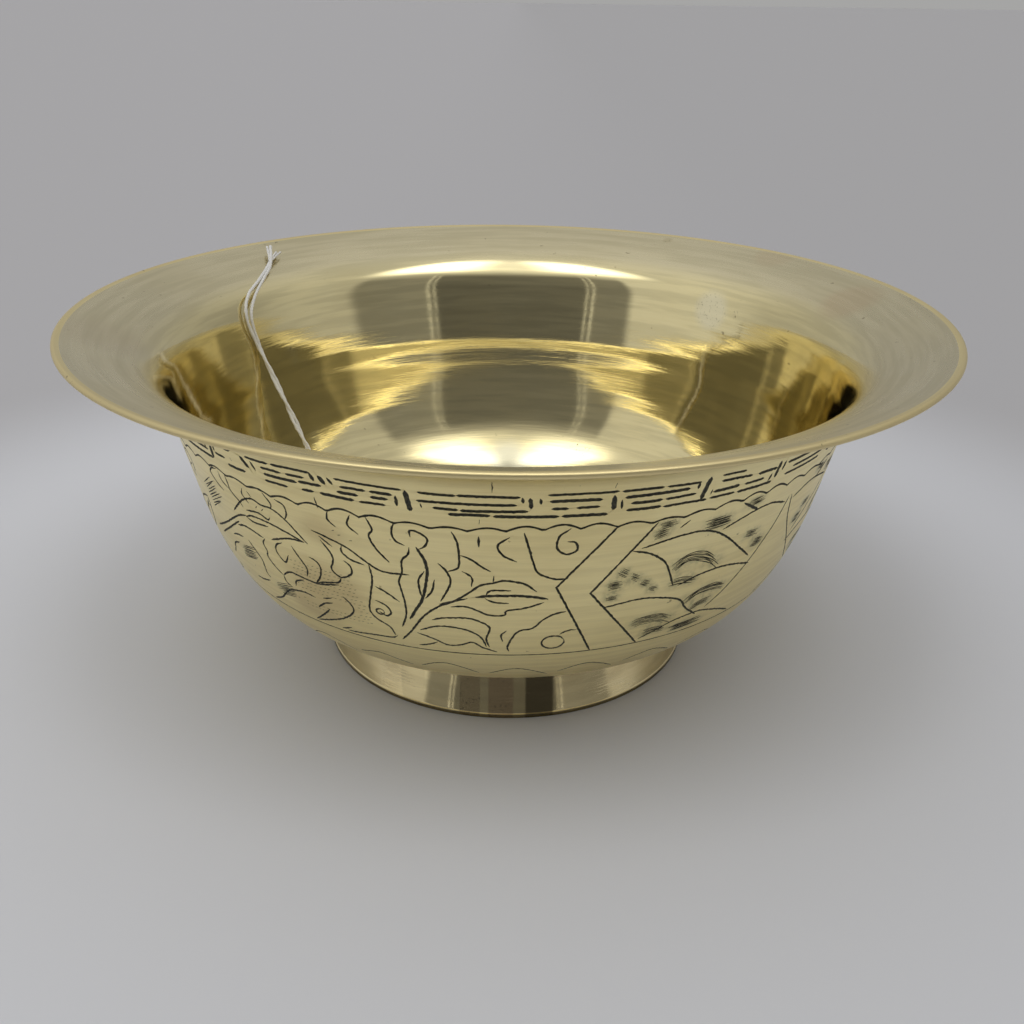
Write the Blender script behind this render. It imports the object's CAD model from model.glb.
"""Looks for a footed brass bowl: an engraved shell, a polished foot ring, its solder and a cotton tag string.

The engraving is cut into the shell's mesh. It is drawn on a flat strip and then wrapped round the turned
profile. A point on the strip is (u, s): u is the distance round the bowl, nought at the front and growing to
the right, and s is the distance up the outside of the wall, both in millimetres.
"""

import math
import random

import bmesh
import bpy
import numpy as np
from mathutils import Matrix, Vector
from mathutils.geometry import delaunay_2d_cdt
from mathutils.kdtree import KDTree


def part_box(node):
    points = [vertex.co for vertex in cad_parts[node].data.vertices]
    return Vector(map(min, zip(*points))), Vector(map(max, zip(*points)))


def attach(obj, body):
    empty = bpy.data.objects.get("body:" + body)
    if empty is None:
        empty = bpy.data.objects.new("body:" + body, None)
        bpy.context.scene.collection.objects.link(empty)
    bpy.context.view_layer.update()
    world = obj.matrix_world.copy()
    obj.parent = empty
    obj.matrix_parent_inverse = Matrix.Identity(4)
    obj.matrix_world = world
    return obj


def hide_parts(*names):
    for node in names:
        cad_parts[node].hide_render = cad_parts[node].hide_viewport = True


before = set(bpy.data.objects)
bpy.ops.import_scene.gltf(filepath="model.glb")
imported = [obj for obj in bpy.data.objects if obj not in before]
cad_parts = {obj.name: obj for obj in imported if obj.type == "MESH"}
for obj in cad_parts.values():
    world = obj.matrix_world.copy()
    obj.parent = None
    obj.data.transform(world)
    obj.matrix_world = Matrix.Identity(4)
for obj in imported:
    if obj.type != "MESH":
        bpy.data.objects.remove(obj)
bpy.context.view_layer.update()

MM = 0.001

# ---------------------------------------------------------------- sizes, in millimetres, from the frame

SHELL_LOW, SHELL_HIGH = (np.array(corner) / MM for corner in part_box("bowl_shell"))
RIM_RADIUS = SHELL_HIGH[0]
RIM_HEIGHT = SHELL_HIGH[2]
BASE_HEIGHT = SHELL_LOW[2]
FOOT_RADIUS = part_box("foot_ring")[1][0] / MM
SHEET = 1.6
LIP_SLOPE = math.radians(25)

# The shell's outside, as three cubic curves of (radius, height)
BASE_EDGE = (45.7, BASE_HEIGHT)
BELLY_TOP = (94.1, 61.6)
WALL_TOP = (100.7, 88.9)
BELLY = (BASE_EDGE, (67.8, BASE_HEIGHT), (85.4, 25.5), BELLY_TOP)
WALL = (BELLY_TOP, (96.3, 70.7), (98.5, 79.8), WALL_TOP)
LIP_CENTRE = (RIM_RADIUS - SHEET / 2, RIM_HEIGHT - SHEET / 2)
LIP_UNDER = (
    LIP_CENTRE[0] + SHEET / 2 * math.sin(LIP_SLOPE),
    LIP_CENTRE[1] - SHEET / 2 * math.cos(LIP_SLOPE),
)
LIP = (WALL_TOP, (102.6, 96.9), (112.0, 100.2), LIP_UNDER)

# The engraved strip: its scale round the bowl, the middle of the hill panel, where the strip joins itself and
# how far up it goes. COLUMNS is how many points every turned ring of the shell has.
PER_RADIAN = 100.0
ROUND = 2 * math.pi * PER_RADIAN
HALF_ROUND = ROUND / 2
MIRROR = 83.0
SEAM = MIRROR - HALF_ROUND
STRIP_LOW, STRIP_HIGH = 31.0, 111.0
COLUMNS = 200


# ---------------------------------------------------------------- turned lines


def distances(points):
    """How far along a line each of its points is."""
    return np.concatenate([[0], np.cumsum(np.linalg.norm(np.diff(points, axis=0), axis=1))])


def cubic(corners, count):
    """Points along a cubic curve, both ends included."""
    t = np.linspace(0, 1, count)[:, None]
    a, b, c, d = (np.array(corner, float) for corner in corners)
    return a * (1 - t) ** 3 + 3 * b * (1 - t) ** 2 * t + 3 * c * (1 - t) * t**2 + d * t**3


class Line:
    """A smooth (radius, height) line that gives its point and its left-hand normal at a distance along it."""

    def __init__(self, points):
        self.points = np.array(points, float)
        self.along = distances(self.points)
        self.length = self.along[-1]
        run = np.gradient(self.points, self.along, axis=0)
        run /= np.hypot(*run.T)[:, None]
        self.normals = np.stack([-run[:, 1], run[:, 0]], 1)

    def at(self, distance):
        point = [np.interp(distance, self.along, self.points[:, axis]) for axis in (0, 1)]
        normal = [np.interp(distance, self.along, self.normals[:, axis]) for axis in (0, 1)]
        return np.stack(point, -1), np.stack(normal, -1)


def outside_line():
    """The shell's outside from the base's edge to under the lip, softened where the three curves meet."""
    rough = np.vstack([cubic(BELLY, 340), cubic(WALL, 64)[1:], cubic(LIP, 130)[1:]])
    line = Line(rough)
    even = np.linspace(0, line.length, 668)
    points = line.at(even)[0]
    kernel = np.hanning(21)[1:-1]
    kernel /= kernel.sum()
    reach = len(kernel) // 2
    before = 2 * points[0] - points[reach:0:-1]
    after = 2 * points[-1] - points[-2 : -reach - 2 : -1]
    padded = np.vstack([before, points, after])
    soft = np.stack([np.convolve(padded[:, axis], kernel, "valid") for axis in (0, 1)], 1)
    return Line(soft)


OUTSIDE = outside_line()

# ---------------------------------------------------------------- the engraved drawing

# Each cut is its points and its half widths. Each smudge is a middle, two half sizes and a strength.
cuts = []
smudges = []

CUT_SPACING = 0.62
COARSE_SPACING = 1.3
RING_SPACING = 0.9
LINE_WIDTH = 0.58
FAINT_WIDTH = 0.42
BOLD_WIDTH = 0.85
FRAME_WIDTH = 0.62
DASH_WIDTH = 0.84
HATCH_WIDTH = 0.25
STROKE_WIDTH = 0.26


def smooth_line(points, spacing):
    """Points at about one spacing along a smooth curve through the given ones."""
    points = [np.array(point, float) for point in points]
    ends = [2 * points[0] - points[1], *points, 2 * points[-1] - points[-2]]
    fine = []
    for before, start, end, after in zip(ends, ends[1:], ends[2:], ends[3:]):
        steps = max(1, round(float(np.hypot(*(end - start)[:2])) / spacing))
        for step in range(steps):
            t = step / steps
            bend = 2 * before - 5 * start + 4 * end - after
            twist = 3 * start - before - 3 * end + after
            fine.append(0.5 * (2 * start + (end - before) * t + bend * t**2 + twist * t**3))
    return np.array([*fine, points[-1]])


def straight_line(points, spacing):
    """Points at about one spacing along straight runs between the given ones."""
    points = [np.array(point, float) for point in points]
    fine = []
    for start, end in zip(points, points[1:]):
        steps = max(1, round(float(np.hypot(*(end - start))) / spacing))
        fine += [start + (end - start) * step / steps for step in range(steps)]
    return np.array([*fine, points[-1]])


def cut(points, width=LINE_WIDTH, smooth=True, blunt=False, spacing=CUT_SPACING):
    """Adds one graver cut. Its width wavers as a hand-pushed tool's does. Its ends are thin unless blunt."""
    fine = (smooth_line if smooth else straight_line)(points, spacing)
    along = distances(fine)
    rng = np.random.default_rng(len(cuts) + 11)
    waver = 1 + 0.14 * np.sin(along * 2 * math.pi / 1.9 + rng.uniform(0, 6)) + rng.normal(0, 0.08, len(fine))
    if blunt:
        waver = 1 + (waver - 1) / 2
    half = width / 2 * np.clip(waver, 0.6, 1.5)
    end_length = 0.25 if blunt else 1.6
    nearest_end = np.minimum(along, along[-1] - along)
    half *= np.clip(0.3 + 0.7 * nearest_end / end_length, 0.3, 1)
    sway = rng.normal(0, 0.035, fine.shape)
    cuts.append((fine + sway, np.maximum(half, 0.06)))


def ring_cut(height_at, width):
    """A cut that runs right round the bowl and meets itself at the strip's join."""
    count = round(ROUND / RING_SPACING)
    across = np.linspace(SEAM, SEAM + ROUND, count + 1)
    height = np.array([height_at(u) for u in across])
    rng = np.random.default_rng(5)
    half = width / 2 * (1 + rng.normal(0, 0.12, count + 1))
    half[-1] = half[0]
    height[-1] = height[0]
    cuts.append((np.stack([across, height], 1), half))


def hatch(corner, across, up, lines, smudge, width=HATCH_WIDTH):
    """A smudged patch of short, close, nearly parallel cuts. across and up are the patch's two sides."""
    corner, across, up = (np.array(value, float) for value in (corner, across, up))
    rng = random.Random(len(cuts))
    smudges.append((corner + (across + up) / 2, abs(across[0]) / 2 + 1, abs(up[1]) / 2 + 0.8, smudge))
    for index in range(lines):
        share = (index + 0.5) / lines
        start = corner + up * share + across * rng.uniform(0, 0.22)
        end = corner + up * (share + rng.uniform(-0.06, 0.06)) + across * rng.uniform(0.72, 1)
        cut([start, (start + end) / 2, end], width * rng.uniform(0.8, 1.3), spacing=COARSE_SPACING)


def sweep(arc, lines, drop):
    """Long strokes side by side under an arc, as a hill's slope is shaded, with wax left between them."""
    arc = np.array(arc, float)
    rng = random.Random(len(cuts))
    at = np.linspace(0, 1, len(arc))
    for index in range(lines):
        share = np.linspace(rng.uniform(0, 0.16), rng.uniform(0.8, 1), 5)
        height = np.interp(share, at, arc[:, 1]) - drop * (index + rng.uniform(0, 0.5)) / lines
        line = np.stack([np.interp(share, at, arc[:, 0]), height], 1)
        cut(line, STROKE_WIDTH * rng.uniform(0.8, 1.3), spacing=COARSE_SPACING)
    for start, end in zip(arc[:-1], arc[1:]):
        middle = (start + end) / 2 - (0, drop / 2)
        smudges.append((middle, abs(end[0] - start[0]) / 2 + 1.2, drop / 2 + 1.0, 0.5))


# The key fret's dashes that the front shows: where each starts and ends round the bowl, and its two heights.
# They run from FRET_LEFT to FRET_RIGHT, and even units fill the rest of the way round.
FRET_LEFT, FRET_RIGHT = -81.5, 71.2
FRONT_DASHES = (
    (-81.0, -76.5, 103.0, 102.6), (-75.0, -72.0, 102.2, 102.4), (-80.0, -75.5, 99.4, 99.2),
    (-75.0, -68.0, 97.6, 97.6), (-66.5, -58.5, 102.4, 102.7), (-57.5, -45.8, 102.8, 103.4),
    (-61.5, -55.0, 100.8, 101.0), (-53.5, -48.0, 101.1, 101.4), (-61.0, -50.5, 99.1, 99.5),
    (-50.0, -43.5, 99.9, 100.2), (-61.3, -53.7, 97.2, 97.4), (-49.5, -46.0, 97.7, 98.0),
    (-39.5, -23.2, 103.1, 102.8), (-38.5, -32.0, 101.0, 101.1), (-31.0, -25.5, 101.1, 101.0),
    (-39.5, -34.0, 99.4, 99.4), (-31.0, -26.7, 99.6, 99.6), (-44.3, -35.3, 98.0, 97.8),
    (-34.0, -27.4, 97.7, 97.8), (-19.6, -11.0, 102.6, 102.4), (-10.8, 3.2, 102.5, 102.4),
    (-20.0, 2.5, 100.2, 100.2), (-16.4, -10.6, 98.6, 98.4), (-10.2, 5.0, 98.3, 98.5),
    (-13.0, -3.5, 97.1, 97.2), (-2.8, 12.0, 97.0, 96.9), (12.6, 23.2, 96.9, 96.8), (9.2, 25.2, 103.1, 103.0),
    (9.7, 21.6, 101.2, 101.1), (10.2, 14.0, 99.1, 99.0), (15.8, 21.2, 99.1, 99.1), (25.9, 36.0, 102.9, 102.7),
    (36.8, 45.8, 102.7, 102.3), (26.8, 43.0, 101.0, 101.0), (28.5, 36.2, 99.2, 99.1),
    (37.0, 45.0, 99.1, 99.2), (27.5, 36.2, 97.3, 97.2), (36.8, 48.5, 97.0, 96.8), (51.5, 58.8, 103.0, 102.6),
    (51.8, 61.5, 101.3, 100.6), (63.6, 70.4, 100.4, 100.2), (50.0, 58.0, 98.6, 98.6),
    (59.6, 66.4, 98.5, 98.4), (49.4, 57.0, 96.9, 96.8), (57.8, 69.8, 96.7, 96.5),
)
# Its upright bars there: (round, up) at the top and at the bottom, and the width
FRONT_BARS = (
    (-68.4, 102.0, -66.0, 99.4, 1.2), (-64.8, 101.6, -63.6, 99.2, 0.7), (-46.0, 103.2, -45.2, 101.2, 1.3),
    (-43.8, 103.0, -42.2, 100.8, 1.3), (-41.4, 102.9, -40.2, 101.2, 0.9), (-24.8, 100.8, -24.7, 98.0, 0.8),
    (-22.4, 102.6, -21.6, 97.0, 1.3), (-19.2, 99.4, -18.9, 98.2, 0.5), (3.6, 102.3, 3.9, 100.8, 0.9),
    (5.3, 102.2, 5.7, 99.2, 1.0), (7.6, 102.0, 7.8, 100.4, 0.7), (24.3, 101.8, 24.4, 97.8, 1.2),
    (26.2, 100.4, 26.3, 97.9, 0.6), (45.4, 102.2, 45.2, 100.4, 0.8), (48.2, 103.2, 46.8, 97.4, 1.3),
    (49.6, 99.3, 49.3, 98.0, 0.5), (69.0, 98.9, 68.2, 96.9, 0.8), (71.4, 101.9, 70.6, 97.3, 1.2),
    (73.4, 101.4, 72.8, 98.8, 0.8),
)


def fret_unit(left, right, style, rng):
    """One unit of the fret between two upright bars, in one of its two ways."""
    if style:
        dashes = (
            (left + 2.8, right - 1.6, 102.7),
            (left + 3.2, right - 4.0, 101.0),
            (left + 4.5, left + 10.0, 99.2),
            (left + 11.0, right - 2.2, 99.2),
            (left + 2.4, right - 0.8, 97.3),
        )
        bars = ((0.0, 102.9, 97.3, 1.3), (-3.0, 101.5, 99.3, 0.7), (1.6, 102.0, 99.8, 0.7))
    else:
        dashes = (
            (left + 3.2, left + 12.0, 102.6),
            (left + 12.8, right - 2.5, 102.5),
            (left + 3.0, right - 3.2, 100.6),
            (left + 6.0, right - 1.4, 98.8),
            (left + 4.0, right - 3.0, 97.1),
        )
        bars = ((-1.9, 102.3, 100.9, 0.9), (0.0, 102.2, 98.8, 1.1), (1.8, 102.0, 100.3, 0.7))
    for start, end, height in dashes:
        start_height, end_height = (height + rng.uniform(-0.25, 0.25) for _ in range(2))
        dash(start + rng.uniform(-0.4, 0.4), end + rng.uniform(-0.4, 0.4), start_height, end_height, rng)
    for aside, top, bottom, width in bars:
        lean = rng.uniform(-0.4, 0.4)
        cut([(right + aside - lean, top), (right + aside + lean, bottom)], width, smooth=False, blunt=True)


def dash(start, end, height, end_height, rng):
    middle = ((start + end) / 2, (height + end_height) / 2 + rng.uniform(-0.1, 0.1))
    width = DASH_WIDTH * rng.uniform(0.85, 1.08)
    cut([(start, height), middle, (end, end_height)], width, smooth=False, blunt=True)


def key_fret():
    """The band of nested straight dashes under the lip."""
    rng = random.Random(3)
    for start, end, height, end_height in FRONT_DASHES:
        dash(start, end, height, end_height, rng)
    for top_u, top, bottom_u, bottom, width in FRONT_BARS:
        cut([(top_u, top), (bottom_u, bottom)], width, smooth=False, blunt=True)
    join = SEAM + ROUND - 2.8
    for left, right, units in ((FRET_RIGHT, join, 14), (join, ROUND + FRET_LEFT, 6)):
        pitch = (right - left) / units
        for unit in range(units):
            fret_unit(left + unit * pitch, left + (unit + 1) * pitch, unit % 2, rng)


def scalloped_height(u):
    """The row of 72 uneven scallops under the fret."""
    scallop = abs(math.sin(72 * math.pi * u / ROUND))
    size = 1.2 + 0.3 * math.sin(22 * math.pi * u / ROUND)
    return 92.7 + size * scallop + 0.3 * math.sin(26 * math.pi * u / ROUND)


def low_line_height(u):
    return 49.2 + 0.12 * math.sin(12 * math.pi * u / ROUND)


def borders():
    ring_cut(scalloped_height, 0.6)
    ring_cut(low_line_height, FAINT_WIDTH)
    lobes = 28
    for index in range(lobes):
        middle = SEAM + ROUND * (index + 0.5) / lobes
        high = 41.6 + 0.7 * math.sin(index * 2.3)
        low = 36.3 + 0.8 * math.sin(index * 1.7)
        places = (-9.6, -4.5, 0, 5, 9.8)
        heights = (low + 1.2, high - 1, high, high - 2, low)
        cut([(middle + aside, height) for aside, height in zip(places, heights)], FAINT_WIDTH)


# Each list below is one motif. A motif's cuts are lists of (round, up) points, in millimetres.

LEFT_CLOUDS = [
    [(-83.5, 93.4), (-86, 92.8), (-87.7, 91), (-86, 88.8), (-83, 86.8)],
    [(-82.5, 93), (-82, 90.5), (-79.5, 88.7)],
    [(-79.3, 93.2), (-79, 90), (-79, 88.5), (-76, 86), (-75, 84.5)],
    [(-72.5, 91.2), (-73.3, 89.2), (-71.5, 87)],
    [(-70.5, 91), (-69.3, 89.5)],
    [(-64, 92.7), (-62, 90), (-62.5, 88)],
    [(-60, 92), (-57.3, 91), (-57, 88.5), (-58.3, 86.3)],
]

BIRD_HEAD = [
    [(-81.2, 81.3), (-78, 84), (-74, 87.2), (-69.5, 89), (-66, 88.3), (-62, 88.3), (-58.3, 86.3), (-55, 83),
     (-52.5, 80.3)],
    [(-75.2, 81.5), (-72, 82.8), (-66, 83), (-60, 82.2), (-53.5, 80.5)],
    [(-53.5, 80.5), (-58, 80.3), (-62, 79), (-66.5, 77.2)],
    [(-75.2, 81.5), (-72, 80.8), (-66, 81.5)],
    [(-74, 84), (-69, 85), (-66.5, 84.5), (-65, 84), (-64, 85)],
    [(-69, 86.4), (-68.2, 87.2)],
    [(-66.8, 86.2), (-65.8, 87)],
    [(-100, 69), (-90, 74), (-80, 80), (-75, 82)],
    [(-98, 67.4), (-89, 72.6), (-80.5, 78)],
    [(-82, 76.3), (-77, 77.5), (-70, 76.5)],
]

BIRD_BREAST = [
    [(-69.5, 76.3), (-71, 74.5), (-70.3, 72), (-71, 70), (-69, 67.2), (-66.5, 65)],
    [(-62.5, 77.5), (-65, 76), (-65.8, 73.5), (-63.5, 70.8), (-61.3, 73.8)],
    [(-58.8, 77.8), (-57.3, 75), (-55.3, 71.5), (-56.2, 68.5)],
    [(-53.3, 76), (-51, 75), (-50.2, 72.8), (-51.5, 69.5), (-53.5, 67.2)],
    [(-66.5, 65), (-65, 66.5), (-62, 67.8), (-57, 67.3), (-52.5, 67.2), (-45.5, 69)],
    [(-66.5, 65), (-66.5, 63), (-64.5, 61.5)],
    [(-62.7, 62.7), (-61.5, 65), (-58, 66.6)],
]

BIRD_WING = [
    [(-80, 50.4), (-74, 53.6), (-70, 57), (-66, 60), (-60, 61.5), (-56, 61)],
    [(-60.5, 50.4), (-56, 54), (-52, 57.8)],
    [(-56.5, 57), (-53, 59.8), (-49.8, 61)],
    [(-53, 61.8), (-49.5, 63)],
    [(-45.3, 65), (-43.2, 62.5), (-43.2, 60), (-46, 57), (-51, 54), (-59.8, 50.4)],
    [(-88, 70.8), (-85, 72), (-81.5, 72.5)],
    [(-79, 72.5), (-76.5, 69.5), (-75, 67), (-75.5, 62.5), (-74.5, 61)],
    [(-95, 61.5), (-92, 64.5), (-90, 67), (-86, 68.8)],
    [(-84, 57.5), (-80, 58), (-76, 59.3)],
]

UPPER_CLOUDS = [
    [(-43.3, 93), (-44, 90.5), (-42, 88.5)],
    [(-37.3, 93.2), (-38.5, 90), (-36, 87.6)],
    [(-33.2, 93.4), (-32, 90), (-33.2, 87.8), (-31.8, 84), (-28.8, 80.3)],
    [(-26, 93.2), (-27, 90.5), (-26.5, 87.7), (-24.2, 86.4)],
    [(-22.5, 89.3), (-22.5, 91.2), (-20.5, 91), (-18.4, 89.3), (-19.2, 86.8), (-20.8, 85.8)],
    [(-12.5, 92), (-11.3, 89), (-11, 84.5), (-11.5, 81), (-14, 79.7)],
    [(-10.8, 85), (-8.3, 84), (-6, 82), (-3.5, 80.3)],
    [(-2.7, 79), (-2.9, 77)],
    [(-10.5, 80), (-8.2, 78.3), (-8.3, 75.2)],
    [(1, 91), (-1.8, 88.5), (-0.5, 85.5), (2.8, 83.5)],
    [(4.3, 92.3), (5.5, 88), (6.5, 84), (8, 80), (12, 77.9), (15.5, 77.8)],
    [(15, 93.2), (12.5, 91), (12.2, 87.5), (14.5, 85.5), (17, 86.6), (16.5, 89), (14.5, 89.4)],
    [(-43.5, 87), (-42.8, 87.3)],
    [(-42, 86), (-41.2, 86.2)],
    [(-39, 85), (-38.2, 85.2)],
]

TALL_LEAF = [
    [(-23.2, 86), (-23.5, 84), (-25.5, 81.5), (-25.8, 78), (-27, 74.5), (-26.4, 69), (-26.5, 63.5),
     (-28.6, 58)],
    [(-20, 79), (-21.8, 75.5), (-21.4, 70)],
    [(-17.6, 76.5), (-18.5, 72.8), (-20.5, 70)],
    [(-16.3, 82), (-14.3, 79.5), (-13.6, 75.8), (-16.5, 69.5)],
]
TALL_LEAF_SPINE = [
    (-21.4, 86.4), (-19.6, 82.5), (-19.2, 79), (-19.8, 75.5), (-21.2, 70), (-23, 66.5), (-25.8, 61.5),
]

STEM = [
    (-29.8, 52.3), (-26, 57), (-22, 63), (-17.5, 67.5), (-13, 70), (-9.5, 72.8), (-6, 75.8), (-3, 76.6),
    (0, 77.5), (5, 76.4), (8, 73.8),
]
RIB = [(-7.5, 71.8), (-3, 72.5), (5, 72.5), (11, 71.3)]

SPRAY = [
    [(-17, 68.5), (-13, 70), (-9.5, 71.2)],
    [(-4.8, 72.5), (-3.5, 74.2), (1.5, 74.3)],
    [(-5, 71.5), (-2.5, 70.3), (1, 70.1)],
    [(-14, 68), (-9.5, 68.3), (-4, 65.8), (0, 66), (0.5, 67.5), (5.5, 68.5), (10, 70.3)],
    [(-19.5, 62.5), (-16, 63.7), (-10, 64.3), (-6.5, 63.2), (-4, 61), (-5, 56.5), (-4.2, 52.8)],
    [(-23.5, 57.8), (-19, 60), (-15, 60.5), (-10, 59.6), (-6.5, 57), (-5, 53)],
    [(-24.5, 56.5), (-20, 54.8), (-16, 52.6), (-12, 53.3), (-9, 54.7), (-6, 52.5), (-2, 50.6)],
    [(-25, 50.8), (-21.5, 52), (-19, 53.5)],
    [(1.3, 51), (0.8, 53), (2, 57), (4, 60), (7.5, 61), (10, 64), (13, 66), (16, 66.7)],
    [(-0.5, 55.5), (-1, 58), (0.5, 60)],
    [(15, 58), (17, 59.3), (19.5, 59.5)],
]

BRANCH = [
    [(-50, 85.5), (-45, 84.3), (-40, 82.5), (-35, 79), (-31, 77), (-24, 77.2)],
    [(-48, 84.2), (-44.5, 81.8)],
    [(-41.5, 83), (-42, 81), (-40, 79), (-36, 78)],
    [(-34.7, 78.5), (-34.5, 74), (-36, 68), (-37.4, 62.5), (-36, 59.5), (-32.5, 57), (-31.5, 53.5)],
    [(-34, 71.5), (-31, 70), (-27.8, 67.5)],
    [(-35, 66.6), (-32, 65.3), (-31, 63), (-32.5, 61.4), (-34.6, 62.6)],
    [(-50.5, 50.4), (-48.5, 51.2), (-46.5, 52.2)],
    [(-48.5, 50.2), (-44, 50.8), (-38, 51.8), (-33, 52.3), (-31, 53.5)],
    [(-47.8, 83), (-45.3, 79), (-45.5, 76.5), (-46.5, 74), (-44, 72), (-40.5, 74), (-40.3, 76.5), (-42, 78)],
    [(-44, 72), (-45.2, 70), (-50, 68.5), (-53, 67.5)],
]

HILLS = [
    [(31.3, 84.5), (36.5, 82.7), (41.5, 78.5), (45.5, 70.3)],
    [(33.5, 85), (42, 86.7), (49, 87), (54.5, 85.5), (60, 82), (66, 77), (71.8, 72.3)],
    [(26, 66.8), (36, 68), (44, 66.5), (49.5, 64.2), (53, 60), (58.3, 55.7)],
    [(47, 70), (53, 71.8), (60.5, 72.3), (67, 71.2), (73.5, 69.2)],
    [(40, 51), (46, 54), (50, 55.8), (56, 56.7), (61, 56.3), (70, 53), (76, 50)],
    [(57, 85.5), (62, 87), (68, 88.4), (74, 88.6), (81, 86.5)],
    [(43, 89.5), (45.5, 91.3)],
]
FRAME_OUTER = [(26.5, 93), (12.8, 75), (25.2, 49.2)]
FRAME_INNER = [(36.5, 92.4), (21.8, 72.3), (40, 49.2)]
FRAME_PEAK = [(82.4, 88), (80, 81), (77, 76), (72, 69), (66, 62), (61, 57.5)]


# Half of the hill panel; the other half is its mirror image. Each cut has its width and whether it is smooth.
HILL_CUTS = [(points, LINE_WIDTH, True) for points in HILLS] + [
    (FRAME_OUTER, FRAME_WIDTH, False),
    (FRAME_INNER, FRAME_WIDTH, False),
    (FRAME_PEAK, 0.5, True),
    ([(62, 92.2), (68.5, 88.3)], 0.8, False),
]
# Its hatched patches: a corner, the two sides and how many lines
HILL_PATCHES = (
    ((37, 90), (5, 0.6), (0, 2), 6),
    ((36, 86.8), (4, 1.2), (0.4, 2.8), 8),
    ((51, 86.4), (9, 0.4), (-1, 3.4), 10),
    ((28, 77.6), (3, -1.8), (1.2, 2.2), 6),
    ((31.6, 75.6), (2.6, -1.6), (1, 1.8), 6),
    ((34.8, 73.2), (2.6, -1.4), (1, 1.6), 6),
    ((37.6, 70.8), (2.4, -1), (0.8, 1.4), 5),
    ((26, 72.4), (4, 0.4), (0.2, 2.6), 8),
    ((26, 69), (3.4, 0.2), (0.2, 1.4), 5),
    ((66, 80), (6, -0.8), (0.8, 2), 6),
    ((70, 75.4), (5, -0.4), (1.4, 2.6), 8),
    ((50, 50.6), (13, 0.6), (-1, 2.8), 9),
    ((64, 90.2), (6, 0.6), (-0.6, 2), 6),
)
# Its shaded slopes: the arc at the top, how many strokes and how far down they go
HILL_SWEEPS = (
    ([(43, 77), (48.3, 80.8), (54.5, 79.2), (60, 74.8)], 7, 3.4),
    ([(44, 72.6), (48, 72.8), (53, 71.6)], 5, 2.4),
    ([(35.6, 59.6), (39, 60.9), (44, 60.7), (49.5, 58)], 7, 3.4),
    ([(40.5, 54.8), (43.5, 55.4), (48, 54.8)], 6, 2.8),
    ([(50.5, 63), (55, 66.6), (61, 67), (65.5, 65.4)], 6, 2.6),
    ([(54, 60), (58, 61.6), (62, 61.8)], 5, 2.4),
)


def draw_scenery(offset):
    """The hill panel, moved round the bowl by offset."""
    for mirror in (False, True):

        def put(point):
            u, s = point
            return (2 * MIRROR - u if mirror else u) + offset, s

        for points, width, smooth in HILL_CUTS:
            cut([put(point) for point in points], width, smooth)
        for corner, across, up, lines in HILL_PATCHES:
            across = (-across[0] if mirror else across[0], across[1])
            hatch(put(corner), across, up, lines, 0.6)
        for arc, lines, drop in HILL_SWEEPS:
            sweep([put(point) for point in arc], lines, drop)


def circle(centre, radius):
    """A fruit or an eye, a little flatter than a true circle."""
    u, s = centre
    turn = [math.radians(angle) for angle in range(20, 381, 30)]
    cut([(u + radius * math.cos(angle), s + 0.85 * radius * math.sin(angle)) for angle in turn])


def leaf(base, tip, belly, veins):
    """A pointed leaf: two bowed edges and a rib, with a few short veins."""
    base, tip = np.array(base, float), np.array(tip, float)
    run = tip - base
    side = np.array([-run[1], run[0]])
    for bow in (belly, -belly * 0.8):
        bulges = ((0.25, 0.75), (0.55, 1), (0.8, 0.6))
        middle = [base + run * share + side * bow * lift for share, lift in bulges]
        cut([base, *middle, tip])
    cut([base + run * 0.08, base + run * 0.5 + side * belly * 0.15, base + run * 0.86], LINE_WIDTH * 1.2)
    for vein in range(veins):
        foot = base + run * (0.25 + 0.5 * vein / (veins - 1))
        sign = 1 if vein % 2 else -1
        cut([foot, foot + run * 0.12 + side * belly * 0.5 * sign], LINE_WIDTH * 0.7)


def curl(centre, radius, start, turns):
    """A cloud curl that winds inwards."""
    steps = max(5, round(turns * 9))
    points = []
    for step in range(steps + 1):
        angle = math.radians(start) + 2 * math.pi * turns * step / steps
        shrink = radius * (1 - 0.72 * step / steps)
        points.append((centre[0] + shrink * math.cos(angle), centre[1] + shrink * math.sin(angle)))
    cut(points)


def shifted(points, offset):
    return [(u + offset, s) for u, s in points]


def feather_hatch(offset):
    """The bird's fine feathers, its brown tarnish and the stippled ground under it."""
    for u, s, across, up, lines, smudge, width in (
        (-86, 64, (9, 2), (0.5, 4.6), 9, 0.3, 0.3),
        (-97, 76, (11, 6), (-1.5, 8), 10, 0.3, 0.3),
        (-72, 55.6, (9, 2.6), (-2, 4.2), 9, 0.4, 0.28),
    ):
        hatch((u + offset, s), across, up, lines, smudge, width)
    tarnished = ((-50, 66, 13, 9, -0.8), (-58, 57.5, 9, 5, -0.9), (-47, 86, 7, 5, -0.6))
    for u, s, reach, rise, strength in tarnished:
        smudges.append(((u + offset, s), reach, rise, strength))
    rng = random.Random(17)
    for row in range(13):
        for column in range(17):
            u = -61 + column * 1.5 + rng.uniform(-0.25, 0.25) + 0.7 * (row % 2)
            s = 56.5 + row * 1.35 + rng.uniform(-0.15, 0.15)
            in_wing = -61 < u < -42 and 58 < s < 62
            past_branch = u + (s - 56) * 0.25 > -37.5
            if in_wing or past_branch:
                continue
            cut([(u + offset, s), (u + offset + 0.7, s + 0.1)], 0.22, smooth=False, spacing=0.7)


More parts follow.
